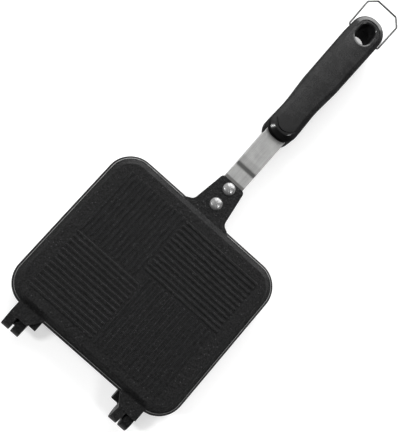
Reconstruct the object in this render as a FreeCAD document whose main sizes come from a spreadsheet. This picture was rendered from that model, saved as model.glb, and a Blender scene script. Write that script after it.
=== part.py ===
import FreeCAD, Part
import math
import os
import Sketcher

# A hinged pie iron: two equal pan castings, each with a riveted steel strap and a moulded grip.
# Both halves are drawn once, outer side up, about the centre of the seam between the pans.
# The handle runs along +X. The lower half is the same half turned over about that axis.

doc = FreeCAD.newDocument("pie_iron")
size = doc.addObject("Spreadsheet::Sheet", "size")

SIZES = {
    # pan casting, heights counted from the middle of the seam
    "pan_length": 133.5,
    "pan_width": 150.0,
    "pan_corner_radius": 20.0,
    "rim_wall": 4.0,
    "seam_gap": 0.3,
    "ledge_height": 12.0,
    "ledge_width": 2.5,
    "ledge_edge_radius": 2.0,
    "crown_rise": 3.2,
    "crown_slope": 3.6,
    "crown_edge_radius": 1.0,
    "floor_thickness": 3.2,
    "cavity_draw": 2.5,
    "cavity_floor_radius": 3.0,
    # raised ribs on the outer face, in four blocks that turn about a plain hub
    "rib_pitch": 4.0,
    "rib_width": 2.0,
    "rib_height": 0.6,
    "rib_corner_radius": 0.9,
    "rib_edge_radius": 0.45,
    "rib_end_margin": 6.95,
    "rib_side_margin": 8.6,
    "rib_hub_offset": 2.0,
    "rib_hub_size": 8.0,
    # lug that carries the handle
    "lug_length": 30.5,
    "lug_root_width": 29.0,
    "lug_end_width": 20.4,
    "lug_thickness": 5.0,
    "lug_root_radius": 5.0,
    "lug_end_radius": 3.0,
    "lug_edge_radius": 0.8,
    # hinge knuckles, counted along Y from the side of the pan inward
    "pin_offset": 11.6,
    "pin_diameter": 5.0,
    "pin_chamfer": 0.4,
    "eye_radius": 7.2,
    "eye_edge_radius": 0.5,
    "hinge_inset": 17.7,
    "prong_width": 6.8,
    "prong_gap": 1.7,
    "stop_gap": 1.0,
    "stop_width": 5.4,
    "stop_reach": 7.6,
    "stop_height": 8.6,
    "plate_reach": 8.5,
    "plate_thickness": 4.6,
    "plate_bevel": 6.0,
    # steel strap between pan and grip
    "strap_thickness": 2.0,
    "strap_width": 17.2,
    "strap_inset": 2.0,
    "strap_corner_radius": 3.0,
    "strap_edge_radius": 0.35,
    "strap_bend_radius": 3.0,
    "jog_place": 44.0,
    "jog_length": 2.8,
    "tang_shoulder": 8.0,
    "tang_width": 11.0,
    "tang_past_screw": 10.0,
    # rivets
    "rivet_place": 10.2,
    "rivet_spacing": 14.5,
    "rivet_diameter": 5.0,
    "rivet_head_diameter": 9.5,
    "rivet_head_height": 2.2,
    "rivet_tail_diameter": 8.0,
    "rivet_tail_height": 1.3,
    "rivet_edge_radius": 0.4,
    # moulded grip
    "grip_place": 77.5,
    "grip_length": 123.5,
    "grip_height": 14.7,
    "grip_gap": 0.6,
    "nose_width": 23.8,
    "nose_radius": 10.5,
    "nose_length": 14.0,
    "waist_width": 22.2,
    "waist_place": 34.0,
    "shoulder_width": 25.8,
    "shoulder_place": 58.0,
    "rear_width": 27.4,
    "rear_radius": 13.0,
    "side_blend_radius": 110.0,
    "bevel_drop": 2.7,
    "bevel_width": 4.6,
    "grip_crown_radius": 90.0,
    "grip_crown_slope": 0.16,
    "face_edge_radius": 0.8,
    "grip_side_radius": 2.6,
    "grip_seam_radius": 1.2,
    "collar_length": 5.6,
    "collar_radius": 9.0,
    "groove_width": 1.3,
    "groove_depth": 1.0,
    # hanging hole, and the groove round its far side
    "hole_place": 16.1,
    "hole_length": 17.0,
    "hole_width": 12.5,
    "hole_corner_radius": 6.0,
    "hole_flare": 1.6,
    "lip_width": 19.4,
    "lip_inset": 4.2,
    "lip_corner_radius": 8.6,
    # screw that holds the grip on the tang
    "screw_place": 66.0,
    "screw_diameter": 4.0,
    "screw_length": 9.6,
    "screw_head_diameter": 7.6,
    "screw_head_height": 2.4,
    "screw_recess": 1.0,
    "screw_slot_width": 1.0,
    "screw_slot_depth": 1.0,
    "screw_edge_radius": 0.4,
    # wire bail that locks the grips together
    "wire_diameter": 1.5,
    "bail_pivot_place": 14.8,
    "bail_end_length": 3.5,
    "bail_side_gap": 0.25,
    "bail_splay": 0.4,
    "bail_swing_gap": 3.16,
    "bail_bevel_length": 6.2,
    "bail_bevel_width": 5.9,
    "bail_bend_radius": 2.4,
    "bail_pivot_bend": 1.0,
    # clearances and the one overrun of every cut
    "running_clearance": 0.08,
    "fixed_clearance": 0.05,
    "socket_clearance": 0.1,
    "cut_overrun": 2.0,
}

for row, (alias, value) in enumerate(SIZES.items(), start=1):
    size.set(f"A{row}", alias)
    size.set(f"B{row}", str(value))
    size.setAlias(f"B{row}", alias)
doc.recompute()

# Lengths that differ by less than this count as equal when edges are looked up
MATCH_TOLERANCE = 0.001

# Places that several pieces share, as expressions over the sheet
SEAM_Z = "(size.ledge_height + size.crown_rise + size.rib_height)"
PAN_END = "(size.pan_length / 2)"
ROOT_X = "(size.pan_length / 2 - size.rim_wall / 2)"
CROWN_Z = "(size.ledge_height + size.crown_rise)"
RIM_Z = "(size.seam_gap / 2)"
PIN_X = "(-size.pan_length / 2 - size.pin_offset)"
OUTER_PRONG_Y = "(size.pan_width / 2 - size.hinge_inset)"
MIDDLE_PRONG_Y = f"({OUTER_PRONG_Y} - size.prong_width - size.prong_gap)"
STOP_Y = f"({MIDDLE_PRONG_Y} - size.prong_width - size.stop_gap)"
LUG_UNDERSIDE = "(size.ledge_height - size.lug_thickness)"
STRAP_UNDERSIDE = f"({LUG_UNDERSIDE} - size.strap_thickness)"
GRIP_NOSE = "(size.pan_length / 2 + size.grip_place)"
GRIP_END = f"({GRIP_NOSE} + size.grip_length)"
GRIP_UNDERSIDE = "(size.grip_gap / 2)"
GRIP_MIDDLE = "(size.grip_gap / 2 + size.grip_height / 2)"
GRIP_TOP = "(size.grip_gap / 2 + size.grip_height)"
BAIL_X = f"({GRIP_END} - size.bail_pivot_place)"
BAIL_SWEEP = f"sqrt(size.bail_pivot_place ^ 2 + ({GRIP_MIDDLE} + {GRIP_TOP}) ^ 2)"
BAIL_BAR_X = f"({BAIL_X} + {BAIL_SWEEP} + size.bail_swing_gap)"
RIVET_X = f"({PAN_END} + size.rivet_place)"
SCREW_X = f"({GRIP_NOSE} + size.screw_place)"
TANG_END = f"({SCREW_X} + size.tang_past_screw)"


def value_of(expression):
    """Number that an expression over the sheet has now."""
    return FreeCAD.Units.Quantity(size.evalExpression(expression)).Value


def new_body(name, label):
    """Empty body of one sub-part."""
    body = doc.addObject("PartDesign::Body", name)
    body.Label = label
    return body


def new_sketch(body, name, plane, height="0", along="0"):
    """Sketch on an origin plane of its body, moved off the plane and along its first axis."""
    sketch = body.newObject("Sketcher::SketchObject", name)
    support = next(item for item in body.Origin.OriginFeatures if item.Role == plane)
    sketch.AttachmentSupport = (support, "")
    sketch.MapMode = "FlatFace"
    sketch.setExpression(".AttachmentOffset.Base.z", height)
    sketch.setExpression(".AttachmentOffset.Base.x", along)
    return sketch


def bind(sketch, constraint, name, expression):
    """Adds a dimension and ties it to the sheet."""
    index = sketch.addConstraint(constraint)
    sketch.renameConstraint(index, name)
    sketch.setExpression(f".Constraints.{name}", expression)


def place_point(sketch, geometry, vertex, x, y):
    """Dimensions one point of a sketch from the sketch's origin."""
    tag = f"{geometry}_{vertex}"
    bind(sketch, Sketcher.Constraint("DistanceX", -1, 1, geometry, vertex, value_of(x)), f"x{tag}", x)
    bind(sketch, Sketcher.Constraint("DistanceY", -1, 1, geometry, vertex, value_of(y)), f"y{tag}", y)


def draw_outline(sketch, corners, closed=True):
    """Draws straight edges through corners (x, y) or (x, y, radius), rounding those with a radius."""
    points = [FreeCAD.Vector(value_of(corner[0]), value_of(corner[1]), 0) for corner in corners]
    count = len(corners)
    starts = list(points)
    ends = list(points)
    arcs = {}
    for number, corner in enumerate(corners):
        if len(corner) < 3:
            continue
        radius = value_of(corner[2])
        back = (points[number - 1] - points[number]).normalize()
        ahead = (points[(number + 1) % count] - points[number]).normalize()
        half_angle = back.getAngle(ahead) / 2
        trim = radius / math.tan(half_angle)
        ends[number] = points[number] + back * trim
        starts[number] = points[number] + ahead * trim
        bisector = (back + ahead).normalize()
        centre = points[number] + bisector * (radius / math.sin(half_angle))
        turns_left = back.cross(ahead).z < 0
        first, last = (ends[number], starts[number]) if turns_left else (starts[number], ends[number])
        angles = [math.atan2(point.y - centre.y, point.x - centre.x) for point in (first, last)]
        circle = Part.Circle(centre, FreeCAD.Vector(0, 0, 1), radius)
        arcs[number] = (Part.ArcOfCircle(circle, *angles), turns_left)
    lines = []
    for number in range(count if closed else count - 1):
        line = Part.LineSegment(starts[number], ends[(number + 1) % count])
        lines.append(sketch.addGeometry(line, False))
    for number, corner in enumerate(corners):
        before = lines[number - 1] if closed or number > 0 else None
        after = lines[number] if number < len(lines) else None
        if number not in arcs:
            if before is not None and after is not None:
                sketch.addConstraint(Sketcher.Constraint("Coincident", before, 2, after, 1))
            geometry, vertex = (after, 1) if after is not None else (before, 2)
            place_point(sketch, geometry, vertex, corner[0], corner[1])
            continue
        shape, turns_left = arcs[number]
        arc = sketch.addGeometry(shape, False)
        near, far = (1, 2) if turns_left else (2, 1)
        sketch.addConstraint(Sketcher.Constraint("Tangent", before, 2, arc, near))
        sketch.addConstraint(Sketcher.Constraint("Tangent", after, 1, arc, far))
        bind(sketch, Sketcher.Constraint("Radius", arc, shape.Radius), f"r{arc}", corner[2])
        mark = sketch.addGeometry(Part.Point(points[number]), True)
        sketch.addConstraint(Sketcher.Constraint("PointOnObject", mark, 1, before))
        sketch.addConstraint(Sketcher.Constraint("PointOnObject", mark, 1, after))
        place_point(sketch, mark, 1, corner[0], corner[1])


def draw_rectangle(sketch, low_x, low_y, high_x, high_y, radius=None):
    """Draws a rectangle between two corners, with one radius at all four."""
    rounding = () if radius is None else (radius,)
    corners = [(low_x, low_y), (high_x, low_y), (high_x, high_y), (low_x, high_y)]
    draw_outline(sketch, [corner + rounding for corner in corners])


def draw_centred(sketch, length, width, radius):
    """Draws a rounded rectangle about the sketch's origin."""
    draw_rectangle(sketch, f"-{length} / 2", f"-{width} / 2", f"{length} / 2", f"{width} / 2", radius)


def draw_circle(sketch, x, y, diameter):
    """Draws a circle of a bound diameter."""
    centre = FreeCAD.Vector(value_of(x), value_of(y), 0)
    circle = Part.Circle(centre, FreeCAD.Vector(0, 0, 1), value_of(diameter) / 2)
    index = sketch.addGeometry(circle, False)
    bind(sketch, Sketcher.Constraint("Diameter", index, value_of(diameter)), f"d{index}", diameter)
    place_point(sketch, index, 3, x, y)


def extrude(body, kind, name, sketch, length, reverse=False, symmetric=False):
    """Pad or pocket of a sketch by a bound length."""
    feature = body.newObject(f"PartDesign::{kind}", name)
    feature.Profile = sketch
    feature.setExpression("Length", length)
    feature.Reversed = reverse
    if symmetric:
        feature.SideType = "Symmetric"
    doc.recompute()
    return feature


def loft(body, kind, name, low_sketch, high_sketch):
    """Additive or subtractive loft between two sketches, with flat sides."""
    feature = body.newObject(f"PartDesign::{kind}", name)
    feature.Profile = low_sketch
    feature.Sections = [high_sketch]
    feature.Ruled = True
    doc.recompute()
    return feature


def revolve(body, name, sketch):
    """Turns a sketch about its own second axis."""
    feature = body.newObject("PartDesign::Revolution", name)
    feature.Profile = sketch
    feature.ReferenceAxis = (sketch, ["V_Axis"])
    doc.recompute()
    return feature


def repeat(body, name, feature, axis, length, occurrences, backward=False):
    """Linear pattern of one feature along an axis of its sketch, or against that axis."""
    pattern = body.newObject("PartDesign::LinearPattern", name)
    pattern.Originals = [feature]
    pattern.Direction = (feature.Profile[0], [axis])
    pattern.setExpression("Length", length)
    pattern.setExpression("Occurrences", occurrences)
    pattern.Reversed = backward
    body.Tip = pattern
    doc.recompute()
    return pattern


def flat_edges(feature, height, low_x=None, half_width=None):
    """Names of the edges that lie level at a height, and past low_x and within half_width if given."""
    level = value_of(height)
    names = []
    for number, edge in enumerate(feature.Shape.Edges, start=1):
        box = edge.BoundBox
        if max(abs(box.ZMin - level), abs(box.ZMax - level)) > MATCH_TOLERANCE:
            continue
        if low_x and box.XMin < value_of(low_x) - MATCH_TOLERANCE:
            continue
        if half_width and max(-box.YMin, box.YMax) > value_of(half_width) + MATCH_TOLERANCE:
            continue
        names.append(f"Edge{number}")
    return names


def side_edges(feature, y, high_x=None):
    """Names of the edges that lie in one plane across Y, and short of one place along X if given."""
    place = value_of(y)
    names = []
    for number, edge in enumerate(feature.Shape.Edges, start=1):
        box = edge.BoundBox
        if high_x and box.XMax > value_of(high_x) + MATCH_TOLERANCE:
            continue
        if max(abs(box.YMin - place), abs(box.YMax - place)) < MATCH_TOLERANCE:
            names.append(f"Edge{number}")
    return names


def upright_edges(feature, x):
    """Names of the edges that stand along Z at one place along X."""
    place = value_of(x)
    names = []
    for number, edge in enumerate(feature.Shape.Edges, start=1):
        box = edge.BoundBox
        if max(abs(box.XMin - place), box.XLength, box.YLength) < MATCH_TOLERANCE:
            names.append(f"Edge{number}")
    return names


def dress(body, kind, name, feature, edges, amount):
    """Fillet or chamfer of named edges by a bound size."""
    dressing = body.newObject(f"PartDesign::{kind}", name)
    dressing.Base = (feature, edges)
    dressing.setExpression("Radius" if kind == "Fillet" else "Size", amount)
    doc.recompute()
    return dressing


def pan_section(body, name, height, inset):
    """Level outline of the pan, drawn in from its side by an inset."""
    sketch = new_sketch(body, name, "XY_Plane", height)
    length = f"(size.pan_length - 2 * ({inset}))"
    width = f"(size.pan_width - 2 * ({inset}))"
    draw_centred(sketch, length, width, f"size.pan_corner_radius - ({inset})")
    return sketch


def build_shell(body):
    """Rim wall, ledge and crown of the pan, hollowed from the seam."""
    wall = extrude(body, "Pad", "wall", pan_section(body, "wall_outline", RIM_Z, "0"),
                   f"size.ledge_height - {RIM_Z}")
    dress(body, "Fillet", "ledge_edge", wall, flat_edges(wall, "size.ledge_height"), "size.ledge_edge_radius")
    crown = loft(body, "AdditiveLoft", "crown",
                 pan_section(body, "crown_foot", "size.ledge_height", "size.ledge_width"),
                 pan_section(body, "crown_top", CROWN_Z, "size.ledge_width + size.crown_slope"))
    dress(body, "Fillet", "crown_edge", crown, flat_edges(crown, CROWN_Z), "size.crown_edge_radius")
    floor_z = f"{CROWN_Z} - size.floor_thickness"
    cavity = loft(body, "SubtractiveLoft", "cavity",
                  pan_section(body, "cavity_mouth", RIM_Z, "size.rim_wall"),
                  pan_section(body, "cavity_floor", floor_z, "size.rim_wall + size.cavity_draw"))
    dress(body, "Fillet", "cavity_edge", cavity, flat_edges(cavity, floor_z), "size.cavity_floor_radius")


def build_lug(body):
    """Tapered lug that the strap is riveted under."""
    sketch = new_sketch(body, "lug_outline", "XY_Plane", LUG_UNDERSIDE)
    root = "(size.lug_root_width / 2)"
    end = "(size.lug_end_width / 2)"
    flare = f"({root} + size.lug_root_radius)"
    tip = f"{PAN_END} + size.lug_length"
    draw_outline(sketch, [
        (ROOT_X, f"-{flare}"),
        (PAN_END, f"-{flare}"),
        (f"{PAN_END} + size.lug_root_radius / 2", f"-{root}", "size.lug_root_radius"),
        (tip, f"-{end}", "size.lug_end_radius"),
        (tip, end, "size.lug_end_radius"),
        (f"{PAN_END} + size.lug_root_radius / 2", root, "size.lug_root_radius"),
        (PAN_END, flare),
        (ROOT_X, flare),
    ])
    lug = extrude(body, "Pad", "lug", sketch, "size.lug_thickness")
    rim = flat_edges(lug, "size.ledge_height", PAN_END)
    dress(body, "Fillet", "lug_edge", lug, rim, "size.lug_edge_radius")
    holes = new_sketch(body, "rivet_hole_outline", "XY_Plane", "size.ledge_height")
    for step in ("0", "size.rivet_spacing"):
        draw_circle(holes, f"{RIVET_X} + {step}", "0", "size.rivet_diameter + 2 * size.fixed_clearance")
    extrude(body, "Pocket", "rivet_holes", holes, "size.lug_thickness + size.cut_overrun")


def build_hinge_plates(body):
    """Plate over each pair of knuckles, level with the ledge and bevelled on its inner side."""
    sketch = new_sketch(body, "plate_outline", "XY_Plane", "size.ledge_height - size.plate_thickness")
    front = f"-{PAN_END} - size.plate_reach"
    inner = f"({MIDDLE_PRONG_Y} - size.prong_width)"
    for side in ("", "-"):
        draw_outline(sketch, [
            (f"-{ROOT_X}", f"{side}{OUTER_PRONG_Y}"),
            (front, f"{side}{OUTER_PRONG_Y}"),
            (front, f"{side}{inner}"),
            (f"-{PAN_END}", f"{side}({inner} - size.plate_bevel)"),
            (f"-{ROOT_X}", f"{side}({inner} - size.plate_bevel)"),
        ])
    extrude(body, "Pad", "hinge_plates", sketch, "size.plate_thickness")


def build_prong(body, name, high_y):
    """One knuckle: an arm down to the seam that ends in a round eye."""
    front = "(size.pin_offset - size.plate_reach)"
    tangent = (f"(atan(size.ledge_height / {front})"
               f" + acos(size.eye_radius / sqrt(size.ledge_height ^ 2 + {front} ^ 2)))")
    arm = new_sketch(body, f"{name}_arm_outline", "XZ_Plane", f"-({high_y})")
    draw_outline(arm, [
        (f"-{ROOT_X}", RIM_Z),
        (f"-{ROOT_X}", "size.ledge_height"),
        (f"{PIN_X} + {front}", "size.ledge_height"),
        (f"{PIN_X} + size.eye_radius * cos{tangent}", f"size.eye_radius * sin{tangent}"),
        (PIN_X, RIM_Z),
    ])
    extrude(body, "Pad", f"{name}_arm", arm, "size.prong_width")
    eye = new_sketch(body, f"{name}_eye_outline", "XZ_Plane", f"-({high_y})")
    draw_circle(eye, PIN_X, "0", "2 * size.eye_radius")
    whole = extrude(body, "Pad", f"{name}_eye", eye, "size.prong_width")
    plate_front = f"-{PAN_END} - size.plate_reach"
    rims = side_edges(whole, high_y, plate_front)
    rims += side_edges(whole, f"{high_y} - size.prong_width", plate_front)
    dress(body, "Fillet", f"{name}_edges", whole, rims, "size.eye_edge_radius")


def build_bore(body, name, high_y, clearance):
    """Bore for the hinge pin through one knuckle."""
    sketch = new_sketch(body, f"{name}_outline", "XZ_Plane", f"-({high_y} - size.prong_width)")
    draw_circle(sketch, PIN_X, "0", f"size.pin_diameter + 2 * {clearance}")
    extrude(body, "Pocket", name, sketch, "size.prong_width")


def build_hinge(body):
    """Outer knuckle and stop on the +Y side, middle knuckle on the -Y side, and their bores."""
    build_hinge_plates(body)
    build_prong(body, "outer_prong", OUTER_PRONG_Y)
    build_prong(body, "middle_prong", f"size.prong_width - {MIDDLE_PRONG_Y}")
    stop = new_sketch(body, "stop_outline", "XY_Plane", RIM_Z)
    draw_rectangle(stop, f"-{PAN_END} - size.stop_reach", f"{STOP_Y} - size.stop_width", f"-{ROOT_X}", STOP_Y)
    extrude(body, "Pad", "stop", stop, f"size.stop_height - {RIM_Z}")
    build_bore(body, "fixed_bore", OUTER_PRONG_Y, "size.fixed_clearance")
    build_bore(body, "running_bore", f"size.prong_width - {MIDDLE_PRONG_Y}", "size.running_clearance")


def build_rib_block(body, name, low_x, low_y, high_x, high_y, outward):
    """One block of parallel ribs, repeated from the hub outward along x or y until the field ends."""
    sketch = new_sketch(body, f"{name}_outline", "XY_Plane", CROWN_Z)
    width = "size.rib_width"
    first = {
        "-x": (f"{high_x} - {width}", low_y, high_x, high_y),
        "+x": (low_x, low_y, f"{low_x} + {width}", high_y),
        "-y": (low_x, f"{high_y} - {width}", high_x, high_y),
        "+y": (low_x, low_y, high_x, f"{low_y} + {width}"),
    }[outward]
    draw_rectangle(sketch, *first, "size.rib_corner_radius")
    if "x" in outward:
        room, axis = f"({high_x} - ({low_x}) - {width})", "H_Axis"
    else:
        room, axis = f"({high_y} - ({low_y}) - {width})", "V_Axis"
    rib = extrude(body, "Pad", name, sketch, "size.rib_height")
    steps = f"floor({room} / size.rib_pitch)"
    repeat(body, f"{name}_row", rib, axis, f"{steps} * size.rib_pitch", f"{steps} + 1", "-" in outward)


def build_ribs(body):
    """Four blocks of ribs round a plain hub. The first rib beside the hub lies across the pan's centre."""
    crown_inset = "(size.ledge_width + size.crown_slope)"
    far_x = f"({PAN_END} - {crown_inset} - size.rib_end_margin)"
    far_y = f"(size.pan_width / 2 - {crown_inset} - size.rib_side_margin)"
    gap = "(size.rib_pitch - size.rib_width)"
    hub_left = f"(size.rib_hub_offset - size.rib_hub_size / 2 + {gap} / 2)"
    hub_right = f"(size.rib_hub_offset + size.rib_hub_size / 2 - {gap} / 2)"
    hub_low = "(size.rib_width / 2)"
    hub_high = "(size.rib_width / 2 + size.rib_hub_size)"
    build_rib_block(body, "ribs_one", f"-{far_x}", f"{hub_low} + {gap}", f"{hub_left} - {gap}", far_y, "-x")
    build_rib_block(body, "ribs_two", f"-{far_x}", f"-{far_y}", hub_right, hub_low, "-y")
    build_rib_block(body, "ribs_three", f"{hub_right} + {gap}", f"-{far_y}",
                    far_x, f"{hub_high} - {gap} / 2", "+x")
    build_rib_block(body, "ribs_four", hub_left, f"{hub_high} + {gap} / 2", far_x, far_y, "+y")
    ribbed = body.Tip
    tops = flat_edges(ribbed, f"{CROWN_Z} + size.rib_height")
    dress(body, "Fillet", "rib_edges", ribbed, tops, "size.rib_edge_radius")


def build_pan(name, label):
    """Cast pan with its lug, hinge knuckles and ribs."""
    body = new_body(name, label)
    build_shell(body)
    build_lug(body)
    build_hinge(body)
    build_ribs(body)
    return body


def build_pin(name, label):
    """Steel hinge pin, fixed in the outer knuckle and free in the other pan's middle knuckle."""
    body = new_body(name, label)
    sketch = new_sketch(body, "pin_outline", "XZ_Plane", f"-{OUTER_PRONG_Y}")
    draw_circle(sketch, PIN_X, "0", "size.pin_diameter")
    pin = extrude(body, "Pad", "pin", sketch, "2 * size.prong_width + size.prong_gap")
    rims = [f"Edge{number}" for number, edge in enumerate(pin.Shape.Edges, start=1)
            if edge.BoundBox.YLength < MATCH_TOLERANCE]
    dress(body, "Chamfer", "pin_ends", pin, rims, "size.pin_chamfer")
    return body


def build_strap(name, label):
    """Flat steel strap: riveted under the lug, jogged, and narrowed to a tang inside the grip."""
    body = new_body(name, label)
    side = new_sketch(body, "strap_side", "XZ_Plane")
    start = f"{PAN_END} + size.strap_inset"
    jog_start = f"{PAN_END} + size.jog_place"
    jog_end = f"{jog_start} + size.jog_length"
    tang_low = f"({GRIP_MIDDLE} - size.strap_thickness / 2)"
    bend = "size.strap_bend_radius"
    draw_outline(side, [
        (start, STRAP_UNDERSIDE),
        (jog_start, STRAP_UNDERSIDE, bend),
        (jog_end, tang_low, bend),
        (TANG_END, tang_low),
        (TANG_END, f"{tang_low} + size.strap_thickness"),
        (jog_end, f"{tang_low} + size.strap_thickness", bend),
        (jog_start, LUG_UNDERSIDE, bend),
        (start, LUG_UNDERSIDE),
    ])
    strap = extrude(body, "Pad", "strap", side, "size.strap_width", symmetric=True)
    uprights = upright_edges(strap, start)
    corners = dress(body, "Fillet", "strap_corners", strap, uprights, "size.strap_corner_radius")
    rims = side_edges(corners, "-size.strap_width / 2") + side_edges(corners, "size.strap_width / 2")
    dress(body, "Fillet", "strap_edges", corners, rims, "size.strap_edge_radius")
    over_tang = f"({tang_low} + size.strap_thickness + size.cut_overrun)"
    sides = new_sketch(body, "tang_sides", "XY_Plane", over_tang)
    for mark in ("", "-"):
        draw_rectangle(sides, f"{GRIP_NOSE} + size.tang_shoulder", f"{mark}size.tang_width / 2",
                       f"{TANG_END} + size.cut_overrun", f"{mark}(size.strap_width / 2 + size.cut_overrun)")
    extrude(body, "Pocket", "tang", sides, "size.strap_thickness + 2 * size.cut_overrun")
    holes = new_sketch(body, "strap_hole_outline", "XY_Plane", over_tang)
    for place in (RIVET_X, f"{RIVET_X} + size.rivet_spacing"):
        draw_circle(holes, place, "0", "size.rivet_diameter + 2 * size.fixed_clearance")
    draw_circle(holes, SCREW_X, "0", "size.screw_diameter + 2 * size.fixed_clearance")
    extrude(body, "Pocket", "strap_holes", holes, f"{over_tang} - {STRAP_UNDERSIDE} + size.cut_overrun")
    return body


def build_rivets(name, label):
    """Two domed rivets through lug and strap."""
    body = new_body(name, label)
    body.AllowCompound = True
    crown_share = 0.55
    profile = new_sketch(body, "rivet_profile", "XZ_Plane", along=RIVET_X)
    head = "(size.rivet_head_diameter / 2)"
    shank = "(size.rivet_diameter / 2)"
    tail = "(size.rivet_tail_diameter / 2)"
    low = f"{STRAP_UNDERSIDE} - size.rivet_tail_height"
    high = "size.ledge_height + size.rivet_head_height"
    draw_outline(profile, [
        ("0", low),
        (tail, low, "size.rivet_edge_radius"),
        (tail, STRAP_UNDERSIDE),
        (shank, STRAP_UNDERSIDE),
        (shank, "size.ledge_height"),
        (head, "size.ledge_height"),
        (f"{head} * {crown_share}", high, "size.rivet_head_height"),
        ("0", high),
    ])
    rivet = revolve(body, "rivet", profile)
    repeat(body, "rivet_row", rivet, "H_Axis", "size.rivet_spacing", "2")
    return body


def grip_outline(sketch):
    """Plan of the grip: blunt nose, waist, shoulders and round end."""
    blend = "size.side_blend_radius"
    half = [
        (GRIP_NOSE, "(size.nose_width / 2)", "size.nose_radius"),
        (f"{GRIP_NOSE} + size.nose_length", "(size.nose_width / 2)", blend),
        (f"{GRIP_NOSE} + size.waist_place", "(size.waist_width / 2)", blend),
        (f"{GRIP_NOSE} + size.shoulder_place", "(size.shoulder_width / 2)", blend),
        (GRIP_END, "(size.rear_width / 2)", "size.rear_radius"),
    ]
    near_side = [(x, f"-{y}", radius) for x, y, radius in half]
    draw_outline(sketch, near_side + half[::-1])


def high_edges(feature, height):
    """Names of the edges that lie wholly above a height."""
    level = value_of(height)
    return [f"Edge{number}" for number, edge in enumerate(feature.Shape.Edges, start=1)
            if edge.BoundBox.ZMin > level]


def inner_edges(feature, low_x, half_width):
    """Names of the edges that lie past a place along X and within a half width."""
    return [f"Edge{number}" for number, edge in enumerate(feature.Shape.Edges, start=1)
            if edge.BoundBox.XMin > value_of(low_x) - MATCH_TOLERANCE
            and max(-edge.BoundBox.YMin, edge.BoundBox.YMax) < value_of(half_width) + MATCH_TOLERANCE]


def build_grip_block(body):
    """Grip with a bevel all round its outer face, which is crowned across its width."""
    plan = new_sketch(body, "grip_plan", "XY_Plane", GRIP_UNDERSIDE)
    grip_outline(plan)
    block = extrude(body, "Pad", "block", plan, "size.grip_height")
    seam = dress(body, "Fillet", "seam_rounding", block, flat_edges(block, GRIP_UNDERSIDE),
                 "size.grip_seam_radius")
    bevel = dress(body, "Chamfer", "bevel", seam, flat_edges(seam, GRIP_TOP), "size.bevel_drop")
    bevel.ChamferType = "Two distances"
    bevel.setExpression("Size2", "size.bevel_width")
    doc.recompute()
    foot_edges = flat_edges(bevel, f"{GRIP_TOP} - size.bevel_drop")
    dress(body, "Fillet", "side_rounding", bevel, foot_edges, "size.grip_side_radius")
    crown = new_sketch(body, "crown_outline", "YZ_Plane", f"({GRIP_NOSE} + size.grip_length / 2)")
    peak = f"({GRIP_TOP} + size.grip_crown_radius * (sqrt(1 + size.grip_crown_slope ^ 2) - 1))"
    side = "(size.rear_width / 2)"
    foot = f"({peak} - size.grip_crown_slope * {side})"
    draw_outline(crown, [
        (f"-{side}", foot),
        ("0", peak, "size.grip_crown_radius"),
        (side, foot),
        (side, f"{peak} + size.cut_overrun"),
        (f"-{side}", f"{peak} + size.cut_overrun"),
    ])
    crowned = extrude(body, "Pocket", "crown", crown, "size.grip_length", symmetric=True)
    dress(body, "Fillet", "face_edge", crowned, high_edges(crowned, f"({GRIP_TOP} - size.bevel_drop / 2)"),
          "size.face_edge_radius")


def build_collar(body):
    """Groove across the top, round about the nose, that sets the collar off from the rest of the grip."""
    sketch = new_sketch(body, "collar_outline", "XY_Plane", GRIP_TOP)
    side = "(size.nose_width / 2 + size.cut_overrun)"
    step = "(size.groove_width * sqrt(2))"
    front = f"({GRIP_NOSE} + size.collar_length - size.collar_radius * (sqrt(2) - 1))"
    draw_outline(sketch, [
        (f"{front} + {side}", f"-{side}"),
        (f"{front} + {step} + {side}", f"-{side}"),
        (f"{front} + {step}", "0", "(size.collar_radius - size.groove_width)"),
        (f"{front} + {step} + {side}", side),
        (f"{front} + {side}", side),
        (front, "0", "size.collar_radius"),
    ])
    extrude(body, "Pocket", "collar_groove", sketch, "size.groove_depth")


def build_hanging_hole(body):
    """Flared hole through the grip near its end."""
    sketch = new_sketch(body, "hole_outline", "XY_Plane", GRIP_TOP)
    centre = f"({GRIP_END} - size.hole_place)"
    hole_start = f"({centre} - size.hole_length / 2)"
    hole_side = "(size.hole_width / 2)"
    draw_rectangle(sketch, hole_start, f"-{hole_side}", f"{centre} + size.hole_length / 2", hole_side,
                   "size.hole_corner_radius")
    hole = extrude(body, "Pocket", "hanging_hole", sketch, "size.grip_height + size.cut_overrun")
    rim = [name for name in high_edges(hole, f"({GRIP_TOP} - size.bevel_drop / 2)")
           if name in inner_edges(hole, hole_start, hole_side)]
    dress(body, "Fillet", "hole_flare", hole, rim, "size.hole_flare")


def build_lip(body):
    """Groove round the far side of the hole, along the edge of the grip's face."""
    sketch = new_sketch(body, "lip_outline", "XY_Plane", GRIP_TOP)
    start = f"({GRIP_END} - size.hole_place)"
    end = f"({GRIP_END} - size.lip_inset)"
    outer = "(size.lip_width / 2)"
    inner = f"({outer} - size.groove_width)"
    inner_end = f"({end} - size.groove_width)"
    inner_radius = "(size.lip_corner_radius - size.groove_width)"
    draw_outline(sketch, [
        (start, f"-{outer}"),
        (end, f"-{outer}", "size.lip_corner_radius"),
        (end, outer, "size.lip_corner_radius"),
        (start, outer),
        (start, inner),
        (inner_end, inner, inner_radius),
        (inner_end, f"-{inner}", inner_radius),
        (start, f"-{inner}"),
    ])
    extrude(body, "Pocket", "lip_groove", sketch, "size.groove_depth")


def build_pivot(body, name, side, reverse):
    """Blind hole in one side of the grip for an end of the bail."""
    outside = f"{side}(size.rear_width / 2 + size.cut_overrun)"
    sketch = new_sketch(body, f"{name}_outline", "XZ_Plane", outside)
    draw_circle(sketch, BAIL_X, GRIP_MIDDLE, "size.wire_diameter + 2 * size.running_clearance")
    depth = "size.cut_overrun + size.bail_end_length + 2 * size.socket_clearance"
    extrude(body, "Pocket", name, sketch, depth, reverse)


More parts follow.
